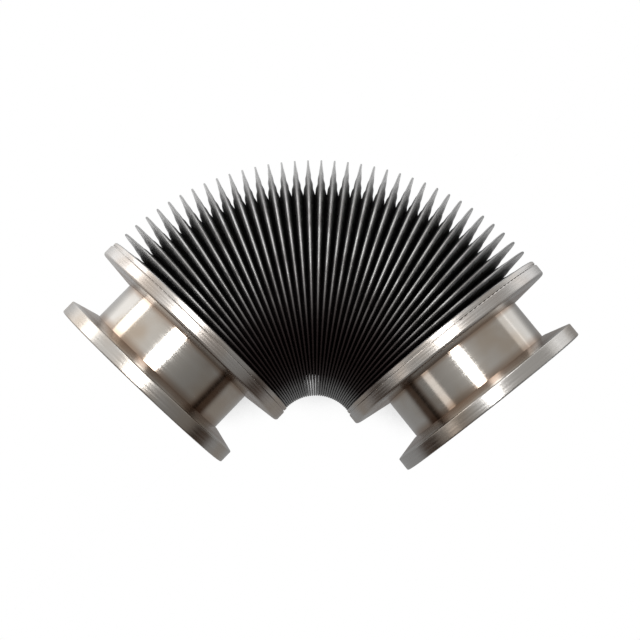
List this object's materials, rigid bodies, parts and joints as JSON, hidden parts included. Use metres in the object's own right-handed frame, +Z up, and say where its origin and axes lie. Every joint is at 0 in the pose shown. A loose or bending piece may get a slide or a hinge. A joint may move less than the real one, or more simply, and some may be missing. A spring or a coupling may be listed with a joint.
{
  "type": "edge-welded vacuum bellows hose",
  "caption": "Bent edge-welded steel bellows hose of thin ring diaphragms between two round end plates, with a short tube and a clamp flange at each end, for flexible vacuum lines.",
  "frame": {"origin": "on the surface it lies on, under the middle of its bounding box", "axes": "+Z up, away from the surface; the bend lies flat in XY and opens towards -Y; +X from the left flange to the right flange"},
  "size_m": [0.1304, 0.078, 0.0608],
  "materials": {
    "diaphragm_steel": "thin rolled stainless sheet, dark between the folds",
    "flange_steel": "turned stainless steel, bright satin",
    "plate_steel": "turned stainless steel, bright satin",
    "tube_steel": "drawn stainless tube, smooth"
  },
  "bodies": {
    "root": {"bellows_convolution_01": "diaphragm_steel", "bellows_convolution_02": "diaphragm_steel", "bellows_convolution_03": "diaphragm_steel", "bellows_convolution_04": "diaphragm_steel", "bellows_convolution_05": "diaphragm_steel", "bellows_convolution_06": "diaphragm_steel", "bellows_convolution_07": "diaphragm_steel", "bellows_convolution_08": "diaphragm_steel", "bellows_convolution_09": "diaphragm_steel", "bellows_convolution_10": "diaphragm_steel", "bellows_convolution_11": "diaphragm_steel", "bellows_convolution_12": "diaphragm_steel", "bellows_convolution_13": "diaphragm_steel", "bellows_convolution_14": "diaphragm_steel", "bellows_convolution_15": "diaphragm_steel", "bellows_convolution_16": "diaphragm_steel", "bellows_convolution_17": "diaphragm_steel", "bellows_convolution_18": "diaphragm_steel", "bellows_convolution_19": "diaphragm_steel", "bellows_convolution_20": "diaphragm_steel", "bellows_convolution_21": "diaphragm_steel", "bellows_convolution_22": "diaphragm_steel", "bellows_convolution_23": "diaphragm_steel", "bellows_convolution_24": "diaphragm_steel", "bellows_convolution_25": "diaphragm_steel", "bellows_convolution_26": "diaphragm_steel", "bellows_convolution_27": "diaphragm_steel", "bellows_convolution_28": "diaphragm_steel", "bellows_convolution_29": "diaphragm_steel", "bellows_convolution_30": "diaphragm_steel", "bellows_convolution_31": "diaphragm_steel", "bellows_convolution_32": "diaphragm_steel", "bellows_convolution_33": "diaphragm_steel", "bellows_convolution_34": "diaphragm_steel", "bellows_convolution_35": "diaphragm_steel", "left_clamp_flange": "flange_steel", "left_tube_stub": "tube_steel", "left_end_plate": "plate_steel", "right_clamp_flange": "flange_steel", "right_tube_stub": "tube_steel", "right_end_plate": "plate_steel"}
  },
  "joints": []
}
